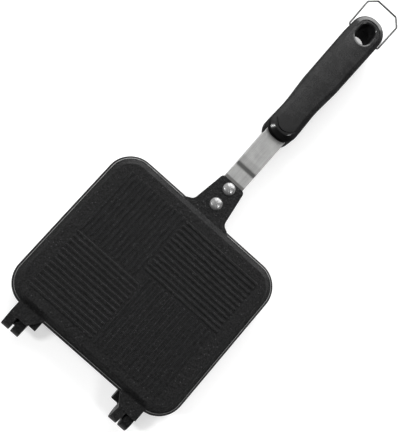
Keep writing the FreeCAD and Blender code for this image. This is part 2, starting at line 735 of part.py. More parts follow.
def build_grip(name, label, with_bail):
    """Moulded grip with a socket for the tang, a screw hole and, on one half, the bail's pivots."""
    body = new_body(name, label)
    build_grip_block(body)
    build_collar(body)
    build_hanging_hole(body)
    build_lip(body)
    space = "size.socket_clearance"
    socket_top = f"{GRIP_MIDDLE} + size.strap_thickness / 2 + {space}"
    socket = new_sketch(body, "socket_outline", "XY_Plane", socket_top)
    wide = f"(size.strap_width / 2 + {space})"
    narrow = f"(size.tang_width / 2 + {space})"
    shoulder = f"{GRIP_NOSE} + size.tang_shoulder + {space}"
    deep = f"{TANG_END} + {space}"
    mouth = f"{GRIP_NOSE} - size.cut_overrun"
    draw_outline(socket, [
        (mouth, f"-{wide}"),
        (shoulder, f"-{wide}"),
        (shoulder, f"-{narrow}"),
        (deep, f"-{narrow}"),
        (deep, narrow),
        (shoulder, narrow),
        (shoulder, wide),
        (mouth, wide),
    ])
    extrude(body, "Pocket", "socket", socket, f"size.strap_thickness + 2 * {space}")
    shaft = new_sketch(body, "screw_hole_outline", "XY_Plane", GRIP_UNDERSIDE)
    draw_circle(shaft, SCREW_X, "0", "size.screw_diameter + 2 * size.fixed_clearance")
    shaft_depth = f"size.screw_recess + size.screw_length + {space}"
    extrude(body, "Pocket", "screw_hole", shaft, shaft_depth, reverse=True)
    bore = new_sketch(body, "screw_head_outline", "XY_Plane", GRIP_UNDERSIDE)
    draw_circle(bore, SCREW_X, "0", f"size.screw_head_diameter + 2 * {space}")
    head_depth = "size.screw_recess + size.screw_head_height"
    extrude(body, "Pocket", "screw_head_hole", bore, head_depth, reverse=True)
    if with_bail:
        build_pivot(body, "left_pivot", "-", reverse=True)
        build_pivot(body, "right_pivot", "", reverse=False)
    return body


def build_grip_screw(name, label):
    """Slotted screw that goes in from the grip's flat face and through the tang."""
    body = new_body(name, label)
    profile = new_sketch(body, "screw_profile", "XZ_Plane", along=SCREW_X)
    head = "(size.screw_head_diameter / 2)"
    shank = "(size.screw_diameter / 2)"
    low = f"({GRIP_UNDERSIDE} + size.screw_recess)"
    draw_outline(profile, [
        ("0", low),
        (head, low, "size.screw_edge_radius"),
        (head, f"{low} + size.screw_head_height"),
        (shank, f"{low} + size.screw_head_height"),
        (shank, f"{low} + size.screw_length"),
        ("0", f"{low} + size.screw_length"),
    ])
    revolve(body, "screw", profile)
    slot = new_sketch(body, "slot_outline", "XY_Plane", low)
    draw_rectangle(slot, f"{SCREW_X} - {head} - size.cut_overrun", "-size.screw_slot_width / 2",
                   f"{SCREW_X} + {head} + size.cut_overrun", "size.screw_slot_width / 2")
    extrude(body, "Pocket", "slot", slot, "size.screw_slot_depth", reverse=True)
    return body


def build_bail(name, label):
    """Wire bail whose bar clears the other grip's far corner as it swings over the closed grips."""
    body = new_body(name, label)
    end = "(size.rear_width / 2 - size.bail_end_length)"
    leg = "(size.rear_width / 2 + size.bail_side_gap + size.wire_diameter / 2)"
    corner = f"({leg} + size.bail_splay)"
    bend = "size.bail_bend_radius"
    half = [
        (BAIL_X, end),
        (BAIL_X, leg, "size.bail_pivot_bend"),
        (f"{BAIL_BAR_X} - size.bail_bevel_length", corner, bend),
        (BAIL_BAR_X, f"({corner} - size.bail_bevel_width)", bend),
    ]
    far_half = [(point[0], f"-{point[1]}", *point[2:]) for point in half[::-1]]
    path = new_sketch(body, "bail_path", "XY_Plane", GRIP_MIDDLE)
    draw_outline(path, half + far_half, closed=False)
    section = new_sketch(body, "wire_section", "XZ_Plane", f"-{end}")
    draw_circle(section, BAIL_X, GRIP_MIDDLE, "size.wire_diameter")
    wire = body.newObject("PartDesign::AdditivePipe", "wire")
    wire.Profile = section
    wire.Spine = path
    doc.recompute()
    return body


def seat(body, turned_over):
    """Lifts a body to the height of the seam, and turns it over for the lower half."""
    turn = FreeCAD.Rotation(FreeCAD.Vector(1, 0, 0), 180 if turned_over else 0)
    body.Placement = FreeCAD.Placement(FreeCAD.Vector(0, 0, 0), turn)
    body.setExpression(".Placement.Base.z", SEAM_Z)


nodes = []
for half, turned_over in (("upper", False), ("lower", True)):
    pieces = [
        build_pan(f"{half}_pan_body", f"{half}_pan"),
        build_pin(f"{half}_pin_body", f"{half}_hinge_pin"),
        build_strap(f"{half}_strap_body", f"{half}_handle_strap"),
        build_rivets(f"{half}_rivet_body", f"{half}_rivets"),
        build_grip(f"{half}_grip_body", f"{half}_grip", with_bail=not turned_over),
        build_grip_screw(f"{half}_screw_body", f"{half}_grip_screw"),
    ]
    if not turned_over:
        pieces.append(build_bail("bail_body", "lock_bail"))
    for piece in pieces:
        seat(piece, turned_over)
    nodes.extend(pieces)
doc.recompute()

failed = [item.Name for item in doc.Objects if "Invalid" in item.State or "Error" in item.State]
if failed:
    raise RuntimeError(f"objects in error: {failed}")
for node in nodes:
    if node.Shape.isNull() or not node.Shape.isValid():
        raise RuntimeError(f"bad shape: {node.Label}")

os.makedirs("parts", exist_ok=True)
for node in nodes:
    node.Shape.exportStep(f"parts/{node.Label}.step")
    print(node.Label, len(node.Shape.Solids), round(node.Shape.Volume))
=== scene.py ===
import math
import bpy
from mathutils import Matrix, Vector


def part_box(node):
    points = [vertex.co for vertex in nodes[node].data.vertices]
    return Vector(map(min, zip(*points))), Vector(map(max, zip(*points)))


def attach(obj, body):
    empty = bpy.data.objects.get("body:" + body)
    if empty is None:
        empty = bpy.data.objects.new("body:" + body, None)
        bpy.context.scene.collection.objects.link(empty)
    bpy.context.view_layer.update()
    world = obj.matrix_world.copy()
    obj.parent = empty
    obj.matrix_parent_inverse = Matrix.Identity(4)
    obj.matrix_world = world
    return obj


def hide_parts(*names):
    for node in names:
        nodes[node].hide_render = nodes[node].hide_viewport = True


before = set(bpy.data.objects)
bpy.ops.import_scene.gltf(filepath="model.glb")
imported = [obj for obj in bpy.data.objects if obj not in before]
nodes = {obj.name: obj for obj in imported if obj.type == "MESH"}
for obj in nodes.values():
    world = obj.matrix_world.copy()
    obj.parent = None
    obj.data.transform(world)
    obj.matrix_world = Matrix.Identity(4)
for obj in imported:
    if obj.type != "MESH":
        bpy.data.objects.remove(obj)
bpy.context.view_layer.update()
mm = 0.001
print("frame loaded:", len(nodes), "CAD pieces")


# a node of a shader tree, with its settings and plain input values
def addNode(tree, kind, values=None, **settings):
    node = tree.nodes.new(kind)
    for name, value in settings.items():
        setattr(node, name, value)
    for name, value in (values or {}).items():
        node.inputs[name].default_value = value
    return node


def joinNodes(tree, *pairs):
    for source, target in pairs:
        tree.links.new(source, target)


# feeds an input from a socket, or sets it to a plain value
def feedInput(tree, value, target):
    if isinstance(value, bpy.types.NodeSocket):
        tree.links.new(value, target)
    else:
        target.default_value = value


# arithmetic on one or two values, each a socket or a number
def mathNode(tree, operation, first, second=0.0):
    node = addNode(tree, "ShaderNodeMath", operation=operation)
    feedInput(tree, first, node.inputs[0])
    feedInput(tree, second, node.inputs[1])
    return node.outputs[0]


def multiply(tree, first, second):
    return mathNode(tree, "MULTIPLY", first, second)


# how far a value is from a fixed one, to either side
def distanceFrom(tree, value, middle):
    return mathNode(tree, "ABSOLUTE", mathNode(tree, "SUBTRACT", value, middle))


# values spread from one range over another, with smooth ends
def rangeNode(tree, value, fromLow, fromHigh, toLow=0.0, toHigh=1.0):
    node = addNode(tree, "ShaderNodeMapRange", {"From Min": fromLow, "From Max": fromHigh,
                                                "To Min": toLow, "To Max": toHigh},
                   interpolation_type="SMOOTHSTEP")
    tree.links.new(value, node.inputs["Value"])
    return node.outputs["Result"]


# 1 between two values and 0 outside them, with soft ends
def windowNode(tree, value, low, high, soft):
    return multiply(tree, rangeNode(tree, value, low - soft, low + soft),
                    rangeNode(tree, value, high + soft, high - soft))


# a blend of two colours, each a socket or a plain colour
def mixColours(tree, factor, first, second):
    node = addNode(tree, "ShaderNodeMix", data_type="RGBA")
    tree.links.new(factor, node.inputs[0])
    for colour, target in ((first, node.inputs[6]), (second, node.inputs[7])):
        feedInput(tree, (*colour, 1.0) if isinstance(colour, tuple) else colour, target)
    return node.outputs[2]


# the x, y and z of a vector
def splitVector(tree, vector):
    parts = addNode(tree, "ShaderNodeSeparateXYZ")
    tree.links.new(vector, parts.inputs[0])
    return parts.outputs


# a vector of two or three values
def combineVector(tree, *values):
    joined = addNode(tree, "ShaderNodeCombineXYZ")
    for value, target in zip(values, joined.inputs):
        tree.links.new(value, target)
    return joined.outputs[0]


# where a surface is and which way it looks, in its piece's own coordinates
def ownCoordinates(tree):
    return addNode(tree, "ShaderNodeTexCoord").outputs


def bumpNode(tree, height, distance, strength, normal):
    node = addNode(tree, "ShaderNodeBump", {"Strength": strength, "Distance": distance})
    joinNodes(tree, (height, node.inputs["Height"]), (normal, node.inputs["Normal"]))
    return node.outputs[0]


# an empty shader group with named sockets, where an input without a value is a vector
def newGroup(name, inputs, outputs):
    group = bpy.data.node_groups.new(name, "ShaderNodeTree")
    for label, value in inputs.items():
        kind = "NodeSocketVector" if value is None else "NodeSocketFloat"
        socket = group.interface.new_socket(label, in_out="INPUT", socket_type=kind)
        if value is not None:
            socket.default_value = value
    for label in outputs:
        kind = "NodeSocketVector" if label == "Normal" else "NodeSocketFloat"
        group.interface.new_socket(label, in_out="OUTPUT", socket_type=kind)
    given = group.nodes.new("NodeGroupInput").outputs
    result = group.nodes.new("NodeGroupOutput").inputs
    return group, given, result


grainLook = {
    "noise": {"Detail": 3.0, "Roughness": 0.6},
    "contrast": (0.37, 0.63),      # noise values that become 0 and 1
    "fleckEdge": (0.34, 0.16),     # from a fleck's middle, where it ends and where it is full
    "fleckHeight": 1.5,            # against the grain's 1
}


# sprayed grain: fine noise with a few flecks that stand out of it, sizes in metres
def makeSprayedGrain():
    group, given, result = newGroup(
        "sprayedGrain", {"Place": None, "Grain": 0.5 * mm, "Fleck": 1.4 * mm, "Fleck Share": 0.1},
        ["Grain", "Flecks", "Height"])
    noise = addNode(group, "ShaderNodeTexNoise", grainLook["noise"])
    cells = addNode(group, "ShaderNodeTexVoronoi")
    chance = addNode(group, "ShaderNodeSeparateColor")
    joinNodes(group, (given["Place"], noise.inputs["Vector"]),
              (given["Place"], cells.inputs["Vector"]),
              (mathNode(group, "DIVIDE", 1.0, given["Grain"]), noise.inputs["Scale"]),
              (mathNode(group, "DIVIDE", 1.0, given["Fleck"]), cells.inputs["Scale"]),
              (cells.outputs["Color"], chance.inputs[0]))
    picked = mathNode(group, "LESS_THAN", chance.outputs["Red"], given["Fleck Share"])
    core = rangeNode(group, cells.outputs["Distance"], *grainLook["fleckEdge"])
    flecks = multiply(group, picked, core)
    grain = rangeNode(group, noise.outputs["Fac"], *grainLook["contrast"])
    height = mathNode(group, "ADD", grain, multiply(group, flecks, grainLook["fleckHeight"]))
    joinNodes(group, (grain, result["Grain"]), (flecks, result["Flecks"]),
              (height, result["Height"]))
    return group


marksLook = {
    "noise": {"Detail": 4.0, "Roughness": 0.55, "Distortion": 0.6},
    "contrast": (0.32, 0.68),
}


# soft uneven patches, such as handling marks, as a value from 0 to 1
def makeHandlingMarks():
    group, given, result = newGroup(
        "handlingMarks", {"Place": None, "Patch": 20 * mm, "Seed": 0.0}, ["Marks"])
    noise = addNode(group, "ShaderNodeTexNoise", marksLook["noise"], noise_dimensions="4D")
    joinNodes(group, (given["Place"], noise.inputs["Vector"]), (given["Seed"], noise.inputs["W"]),
              (mathNode(group, "DIVIDE", 1.0, given["Patch"]), noise.inputs["Scale"]),
              (rangeNode(group, noise.outputs["Fac"], *marksLook["contrast"]), result["Marks"]))
    return group


edgesLook = {
    "samples": 6,
    "turned": (0.995, 0.86),       # agreement of the rounded and the true direction, where
                                   # rubbing begins and where it is full
    "noise": {"Detail": 5.0, "Roughness": 0.7},
    "contrast": (0.38, 0.66),
}


# edges a little rounded in the light, and a mask of where they are rubbed
def makeRubbedEdges():
    group, given, result = newGroup(
        "rubbedEdges", {"Place": None, "Radius": 0.4 * mm, "Patch": 4 * mm}, ["Rubbed", "Normal"])
    rounded = addNode(group, "ShaderNodeBevel", samples=edgesLook["samples"])
    shape = addNode(group, "ShaderNodeNewGeometry")
    compare = addNode(group, "ShaderNodeVectorMath", operation="DOT_PRODUCT")
    noise = addNode(group, "ShaderNodeTexNoise", edgesLook["noise"])
    joinNodes(group, (given["Radius"], rounded.inputs["Radius"]),
              (rounded.outputs[0], compare.inputs[0]),
              (shape.outputs["Normal"], compare.inputs[1]),
              (given["Place"], noise.inputs["Vector"]),
              (mathNode(group, "DIVIDE", 1.0, given["Patch"]), noise.inputs["Scale"]))
    turned = rangeNode(group, compare.outputs["Value"], *edgesLook["turned"])
    patchy = rangeNode(group, noise.outputs["Fac"], *edgesLook["contrast"])
    joinNodes(group, (multiply(group, turned, patchy), result["Rubbed"]),
              (rounded.outputs[0], result["Normal"]))
    return group


linesLook = {
    "noise": {"Scale": 1.0, "Detail": 4.0, "Roughness": 0.7},
    "contrast": (0.3, 0.7),
}


# lines left by brushing along X
def makeBrushedLines():
    group, given, result = newGroup(
        "brushedLines", {"Place": None, "Line": 0.2 * mm, "Run": 30 * mm}, ["Lines"])
    noise = addNode(group, "ShaderNodeTexNoise", linesLook["noise"])
    x, y, z = splitVector(group, given["Place"])
    stretched = combineVector(group, mathNode(group, "DIVIDE", x, given["Run"]),
                              mathNode(group, "DIVIDE", y, given["Line"]),
                              mathNode(group, "DIVIDE", z, given["Line"]))
    joinNodes(group, (stretched, noise.inputs["Vector"]),
              (rangeNode(group, noise.outputs["Fac"], *linesLook["contrast"]), result["Lines"]))
    return group


groups = {
    "sprayedGrain": makeSprayedGrain(),
    "handlingMarks": makeHandlingMarks(),
    "rubbedEdges": makeRubbedEdges(),
    "brushedLines": makeBrushedLines(),
}
print("shared effects:", len(groups))


# one of the shared effects, placed in a material with its own values
def useGroup(tree, name, place, values):
    node = addNode(tree, "ShaderNodeGroup", values, node_tree=groups[name])
    tree.links.new(place, node.inputs["Place"])
    return node.outputs


# a material and its Principled shader's sockets, some of them set to plain values
def newMaterial(name, values):
    material = bpy.data.materials.new(name)
    material.use_nodes = True
    shader = material.node_tree.nodes["Principled BSDF"]
    for label, value in values.items():
        shader.inputs[label].default_value = value
    return material, material.node_tree, shader.inputs


# the pans as they are in the CAD model
pan = {
    "length": 133.5 * mm,
    "width": 150 * mm,
    "corner": 20 * mm,
    "joint": 15.8 * mm,            # height at which the two rims meet
    "rim": 12 * mm,                # from there to a rim's flat outer face
}

# painted highlight along each rim's rounded outer edge, in patches like rubbed coating
rimHighlight = {
    "tone": (0.36, 0.36, 0.36),
    "from": 1.45 * mm,             # inwards from the pan's outline
    "to": 3.5 * mm,
    "full": 0.6,                   # share of its width at the full tone
    "below": 0.8 * mm,             # reach below and above the rim's flat face
    "above": 0.03 * mm,
    "hingeGap": (35 * mm, 57.8 * mm),    # off the middle line, where a hinge block breaks it
    "hingeSoft": 0.8 * mm,
    "lugGap": 20.5 * mm,           # and where the lug does
    "lugSoft": 1.5 * mm,
    "patches": {"Scale": 1 / (9 * mm), "Detail": 5.0, "Roughness": 0.65},
    "contrast": (0.3, 0.62),
    "faintest": 0.6,               # its strength where its patches are faintest
    "atHinge": 0.6,                # its strength at the hinge side, away from the light, against 1 at the handle side
}


# a painted highlight along the rim's rounded outer edge on both pans, in patches like rubbed
# coating and stronger towards the handle side, where the light comes from
def rimHighlightMask(tree, place):
    x, y, z = splitVector(tree, place)
    halfLength, halfWidth = pan["length"] / 2, pan["width"] / 2
    sideways = mathNode(tree, "ABSOLUTE", y)
    overX = mathNode(tree, "SUBTRACT", mathNode(tree, "ABSOLUTE", x), halfLength - pan["corner"])
    overY = mathNode(tree, "SUBTRACT", sideways, halfWidth - pan["corner"])
    reach = addNode(tree, "ShaderNodeVectorMath", operation="LENGTH")
    tree.links.new(combineVector(tree, mathNode(tree, "MAXIMUM", overX, 0.0),
                                 mathNode(tree, "MAXIMUM", overY, 0.0)), reach.inputs[0])
    inward = mathNode(tree, "SUBTRACT", pan["corner"], reach.outputs["Value"])
    middle = (rimHighlight["from"] + rimHighlight["to"]) / 2
    half = (rimHighlight["to"] - rimHighlight["from"]) / 2
    band = rangeNode(tree, distanceFrom(tree, inward, middle), half, rimHighlight["full"] * half)
    height = distanceFrom(tree, z, pan["joint"])
    onRim = multiply(tree, mathNode(tree, "GREATER_THAN", height, pan["rim"] - rimHighlight["below"]),
                     mathNode(tree, "LESS_THAN", height, pan["rim"] + rimHighlight["above"]))
    atHinge = multiply(tree, mathNode(tree, "LESS_THAN", x, 0.0),
                       windowNode(tree, sideways, *rimHighlight["hingeGap"], rimHighlight["hingeSoft"]))
    atLug = multiply(tree, mathNode(tree, "GREATER_THAN", x, 0.0),
                     rangeNode(tree, sideways, rimHighlight["lugGap"] + rimHighlight["lugSoft"],
                               rimHighlight["lugGap"]))
    clear = mathNode(tree, "SUBTRACT", 1.0, mathNode(tree, "MAXIMUM", atHinge, atLug))
    patches = addNode(tree, "ShaderNodeTexNoise", rimHighlight["patches"])
    tree.links.new(place, patches.inputs["Vector"])
    # the painted highlight in patches, and stronger towards the handle side, where the light
    # comes from
    patchyTone = multiply(tree, rangeNode(tree, patches.outputs["Fac"], *rimHighlight["contrast"],
                                    rimHighlight["faintest"], 1.0),
                    rangeNode(tree, x, -halfLength, halfLength, rimHighlight["atHinge"], 1.0))
    return multiply(tree, multiply(tree, band, onRim), multiply(tree, clear, patchyTone))


cavity = {
    "tone": (0.0042, 0.0042, 0.0044),
    "within": 0.5 * mm,            # in from the pan's ends
    "flatness": 4.0,               # heights count this many times, because the pan is flat
    "toneShare": 0.7,
    "smoother": 0.14,              # less roughness
    "flatter": 0.8,                # less bump
}


# the inside of either pan, on faces that look towards the middle of the iron
def insideMask(tree, place):
    x, y, z = splitVector(tree, place)
    raised = multiply(tree, mathNode(tree, "SUBTRACT", z, pan["joint"]), cavity["flatness"])
    facing = addNode(tree, "ShaderNodeVectorMath", operation="DOT_PRODUCT")
    joinNodes(tree, (combineVector(tree, x, y, raised), facing.inputs[0]),
              (ownCoordinates(tree)["Normal"], facing.inputs[1]))
    withinPan = mathNode(tree, "LESS_THAN", mathNode(tree, "ABSOLUTE", x),
                         pan["length"] / 2 - cavity["within"])
    inwards = mathNode(tree, "LESS_THAN", facing.outputs["Value"], 0.0)
    return multiply(tree, withinPan, inwards)


# painted shade of the gap between the two rims
rimGapShade = {
    "tone": (0.0001, 0.0001, 0.0001),
    "band": (0.78 * mm, 0.48 * mm),    # from the joint, where it ends and where it is full
    "upright": 0.6,                # faces that look further up or down don't show it
    "past": 0.1 * mm,              # beyond the pan's ends
    "duller": 0.4,                 # more roughness
}


# painted shade of the gap where the two rims meet, near black on the pans' sides but not on flat
# rims or hinge blocks
def rimGapShadeMask(tree, place):
    x, _, z = splitVector(tree, place)
    upward = splitVector(tree, ownCoordinates(tree)["Normal"])[2]
    upright = mathNode(tree, "LESS_THAN", mathNode(tree, "ABSOLUTE", upward), rimGapShade["upright"])
    withinPan = mathNode(tree, "LESS_THAN", mathNode(tree, "ABSOLUTE", x),
                         pan["length"] / 2 + rimGapShade["past"])
    band = rangeNode(tree, distanceFrom(tree, z, pan["joint"]), *rimGapShade["band"])
    return multiply(tree, multiply(tree, withinPan, upright), band)


coating = {
    "dark": (0.0003, 0.0003, 0.0004),
    "light": (0.0077, 0.0077, 0.008),
    "fleck": (0.03, 0.03, 0.031),
    "rubbed": (0.018, 0.018, 0.0185),
    "rubbedShare": 0.6,
    "gloss": {"Specular IOR Level": 0.15},
    "roughness": (0.46, 0.56),
    "spray": {"Grain": 1.15 * mm, "Fleck": 1.6 * mm, "Fleck Share": 0.12},
    "marks": {"Patch": 26 * mm, "Seed": 1.7},
    "edges": {"Radius": 0.45 * mm, "Patch": 5 * mm},
    "peel": {"Scale": 1 / (3 * mm), "Detail": 2.0},    # orange peel in waves of 3 mm
    "peelContrast": (0.3, 0.7),
    "peelHeight": 2.8,             # against the grain's 1
    "bump": (0.09 * mm, 0.9),      # depth and strength
}


# sprayed non-stick coating of the two castings
def makeCoating():
    material, tree, sockets = newMaterial("castingCoating", coating["gloss"])
    place = ownCoordinates(tree)["Object"]
    spray = useGroup(tree, "sprayedGrain", place, coating["spray"])
    marks = useGroup(tree, "handlingMarks", place, coating["marks"])
    edges = useGroup(tree, "rubbedEdges", place, coating["edges"])
    peel = addNode(tree, "ShaderNodeTexNoise", coating["peel"])
    tree.links.new(place, peel.inputs["Vector"])
    inside, inGapShade = insideMask(tree, place), rimGapShadeMask(tree, place)

    base = mixColours(tree, spray["Grain"], coating["dark"], coating["light"])
    flecked = mixColours(tree, spray["Flecks"], base, coating["fleck"])
    rubbed = multiply(tree, edges["Rubbed"], coating["rubbedShare"])
    patchyTone = mixColours(tree, rubbed, flecked, coating["rubbed"])
    coated = mixColours(tree, multiply(tree, inside, cavity["toneShare"]), patchyTone, cavity["tone"])
    # painted highlight along the rim's outer edge
    rimHighlighted = mixColours(tree, rimHighlightMask(tree, place), coated, rimHighlight["tone"])
    # painted shade along the gap between the rims
    colour = mixColours(tree, inGapShade, rimHighlighted, rimGapShade["tone"])

    dull = rangeNode(tree, marks["Marks"], 0.0, 1.0, *coating["roughness"])
    smoothed = mathNode(tree, "SUBTRACT", dull, multiply(tree, inside, cavity["smoother"]))
    roughness = mathNode(tree, "ADD", smoothed, multiply(tree, inGapShade, rimGapShade["duller"]))

    waves = rangeNode(tree, peel.outputs["Fac"], *coating["peelContrast"])
    uneven = mathNode(tree, "ADD", spray["Height"], multiply(tree, waves, coating["peelHeight"]))
    outside = mathNode(tree, "SUBTRACT", 1.0, multiply(tree, inside, cavity["flatter"]))
    height = multiply(tree, uneven, outside)
    joinNodes(tree, (colour, sockets["Base Color"]), (roughness, sockets["Roughness"]),
              (bumpNode(tree, height, *coating["bump"], edges["Normal"]), sockets["Normal"]))
    return material


strap = {
    "dark": (0.3, 0.3, 0.297),
    "light": (0.485, 0.485, 0.477),
    "linesShare": 0.7,
    "marksShare": 0.3,
    "metal": {"Metallic": 0.9},
    "roughness": (0.31, 0.4),
    "lines": {"Line": 0.22 * mm, "Run": 35 * mm},
    "marks": {"Patch": 9 * mm, "Seed": 4.2},
    "edges": {"Radius": 0.25 * mm, "Patch": 3 * mm},
    "bump": (0.006 * mm, 0.5),
    # painted shade beside the lug's end and at the jog's bend
    "shadeTone": (0.155, 0.153, 0.149),
    "lugShade": (3.9 * mm, 2.73 * mm),    # painted shade past the lug's end: where it ends and where it is full
    "jog": (110.9 * mm, 113.4 * mm),
    "jogSoft": 0.5 * mm,
    "jogShade": 0.3,
    "pastJog": 6 * mm,             # length of the fainter painted shade that follows the jog
    "pastSoft": 1.5 * mm,
    "pastJogShade": 0.25,
}


# brushed strap, with painted shade beside the end of the casting's lug, and fainter painted shade
# at the jog's bend and past it
def makeBrushedSteel():
    material, tree, sockets = newMaterial("brushedStrap", strap["metal"])
    place = ownCoordinates(tree)["Object"]
    lines = useGroup(tree, "brushedLines", place, strap["lines"])
    marks = useGroup(tree, "handlingMarks", place, strap["marks"])
    edges = useGroup(tree, "rubbedEdges", place, strap["edges"])
    along = splitVector(tree, place)[0]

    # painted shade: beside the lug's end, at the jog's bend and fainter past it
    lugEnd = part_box("upper_pan")[1].x
    shadeEnd, shadeFull = strap["lugShade"]
    besideLug = rangeNode(tree, along, lugEnd + shadeEnd, lugEnd + shadeFull)
    jogStart, jogEnd = strap["jog"]
    atJog = windowNode(tree, along, jogStart, jogEnd, strap["jogSoft"])
    pastJog = windowNode(tree, along, jogEnd, jogEnd + strap["pastJog"], strap["pastSoft"])
    jogShading = mathNode(tree, "ADD", multiply(tree, atJog, strap["jogShade"]),
                      multiply(tree, pastJog, strap["pastJogShade"]))
    shaded = mathNode(tree, "MAXIMUM", besideLug, jogShading)

    tone = mathNode(tree, "ADD", multiply(tree, lines["Lines"], strap["linesShare"]),
                    multiply(tree, marks["Marks"], strap["marksShare"]))
    base = mixColours(tree, tone, strap["dark"], strap["light"])
    roughness = rangeNode(tree, lines["Lines"], 0.0, 1.0, *strap["roughness"])
    normal = bumpNode(tree, lines["Lines"], *strap["bump"], edges["Normal"])
    joinNodes(tree, (mixColours(tree, shaded, base, strap["shadeTone"]), sockets["Base Color"]),
              (roughness, sockets["Roughness"]), (normal, sockets["Normal"]))
    return material


# rivets, pins, screws and wire: each metal's tones, its roughness and the depth of its marks
brightMetals = {
    "rivetAluminium": {"dark": (0.21, 0.21, 0.21), "light": (0.31, 0.31, 0.31),
                       "metal": {"Metallic": 0.62}, "roughness": (0.32, 0.2), "depth": 0.02 * mm},
    "pinSteel": {"dark": (0.04, 0.04, 0.04), "light": (0.09, 0.09, 0.09),
                 "metal": {"Metallic": 1.0}, "roughness": (0.5, 0.35), "depth": 0.01 * mm},
    "screwZinc": {"dark": (0.5, 0.5, 0.49), "light": (0.64, 0.64, 0.62),
                  "metal": {"Metallic": 1.0}, "roughness": (0.36, 0.25), "depth": 0.01 * mm},
    "bailWire": {"dark": (0.09, 0.09, 0.09), "light": (0.14, 0.14, 0.14),
                 "metal": {"Metallic": 1.0}, "roughness": (0.42, 0.3), "depth": 0.01 * mm},
}
fineMarks = {
    "marks": {"Patch": 1.6 * mm, "Seed": 2.3},
    "edges": {"Radius": 0.15 * mm, "Patch": 2 * mm},
    "strength": 0.6,
}


# bright metal with fine marks
def makeBrightMetal(name):
    look = brightMetals[name]
    material, tree, sockets = newMaterial(name, look["metal"])
    place = ownCoordinates(tree)["Object"]
    marks = useGroup(tree, "handlingMarks", place, fineMarks["marks"])["Marks"]
    edges = useGroup(tree, "rubbedEdges", place, fineMarks["edges"])
    normal = bumpNode(tree, marks, look["depth"], fineMarks["strength"], edges["Normal"])
    joinNodes(tree, (mixColours(tree, marks, look["dark"], look["light"]), sockets["Base Color"]),
              (rangeNode(tree, marks, 0.0, 1.0, *look["roughness"]), sockets["Roughness"]),
              (normal, sockets["Normal"]))
    return material


grip = {
    "dark": (0.006, 0.006, 0.0062),
    "light": (0.021, 0.021, 0.0213),
    "marksShare": 0.55,
    "skinShare": 0.45,
    "rubbed": (0.03, 0.03, 0.0305),
    "rubbedShare": 0.4,
    # painted shade on the nose
    "nose": (0.004, 0.004, 0.0042),
    "noseEnd": 151.5 * mm,
    "noseSoft": 1 * mm,
    "noseFade": 22 * mm,           # the painted shade fades over this length past the nose
    "noseTone": 0.45,              # the skin's tone where the fade begins, against 1 at its end
    "gloss": {"Specular IOR Level": 0.0, "Coat Roughness": 0.17},
    "roughness": (0.42, 0.5),
    "polishFacing": (0.5, 0.97),   # how far up or down a dull and a shiny face look
    "polish": (0.05, 1.0),
    "skin": {"Grain": 1.1 * mm, "Fleck Share": 0.0},    # no flecks
    "marks": {"Patch": 8 * mm, "Seed": 7.1},
    "edges": {"Radius": 0.35 * mm, "Patch": 4 * mm},
    "bump": (0.012 * mm, 0.5),
}


# moulded black grip: fine skin, shiny where hands polish it and dull down its sides, with painted
# shade on the nose that fades past it
def makeMouldedBlack():
    material, tree, sockets = newMaterial("mouldedBlack", grip["gloss"])
    place = ownCoordinates(tree)["Object"]
    skin = useGroup(tree, "sprayedGrain", place, grip["skin"])
    marks = useGroup(tree, "handlingMarks", place, grip["marks"])["Marks"]
    edges = useGroup(tree, "rubbedEdges", place, grip["edges"])
    along = splitVector(tree, place)[0]
    upward = mathNode(tree, "ABSOLUTE", splitVector(tree, ownCoordinates(tree)["Normal"])[2])
    polished = rangeNode(tree, upward, *grip["polishFacing"], *grip["polish"])

    # painted shade on the nose, fading over the skin past it
    noseEnd = grip["noseEnd"]
    shadedNose = rangeNode(tree, along, noseEnd + grip["noseSoft"], noseEnd - grip["noseSoft"])
    pastNose = rangeNode(tree, along, noseEnd, noseEnd + grip["noseFade"], grip["noseTone"], 1.0)
    tone = mathNode(tree, "ADD", multiply(tree, marks, grip["marksShare"]),
                    multiply(tree, skin["Grain"], grip["skinShare"]))
    skinTone = mixColours(tree, multiply(tree, tone, pastNose), grip["dark"], grip["light"])
    base = mixColours(tree, shadedNose, skinTone, grip["nose"])
    rubbed = multiply(tree, edges["Rubbed"], grip["rubbedShare"])
    normal = bumpNode(tree, skin["Height"], *grip["bump"], edges["Normal"])
    joinNodes(tree, (mixColours(tree, rubbed, base, grip["rubbed"]), sockets["Base Color"]),
              (rangeNode(tree, marks, 0.0, 1.0, *grip["roughness"]), sockets["Roughness"]),
              (polished, sockets["Coat Weight"]), (normal, sockets["Normal"]))
    return material


# one finish for each kind of CAD node, named as the node is after its first word
finishes = {
    "pan": makeCoating(),
    "handle_strap": makeBrushedSteel(),
    "rivets": makeBrightMetal("rivetAluminium"),
    "hinge_pin": makeBrightMetal("pinSteel"),
    "grip": makeMouldedBlack(),
    "grip_screw": makeBrightMetal("screwZinc"),
    "bail": makeBrightMetal("bailWire"),
}
for name, node in nodes.items():
    for slot in node.material_slots:
        slot.material = finishes[name.split("_", 1)[1]]
print("materials:", len(finishes))


# picks faces of the piece being edited by their middle and normal
def pickFaces(piece, test):
    bpy.ops.object.mode_set(mode="EDIT")
    bpy.ops.mesh.select_mode(type="FACE")
    bpy.ops.mesh.select_all(action="DESELECT")
    bpy.ops.object.mode_set(mode="OBJECT")
    for face in piece.data.polygons:
        face.select = test(face.center, face.normal)
    bpy.ops.object.mode_set(mode="EDIT")


# pushes the picked round face on through rings of (radius, height) about the rivet's axis
def pushRings(axis, fromRadius, fromHeight, rings):
    for radius, height in rings:
        step = (0, 0, height - fromHeight)
        bpy.ops.mesh.extrude_region_move(TRANSFORM_OT_translate={"value": step})
        share = radius / fromRadius
        bpy.ops.transform.resize(value=(share, share, 1), center_override=(axis, 0, height))
        fromRadius, fromHeight = radius, height


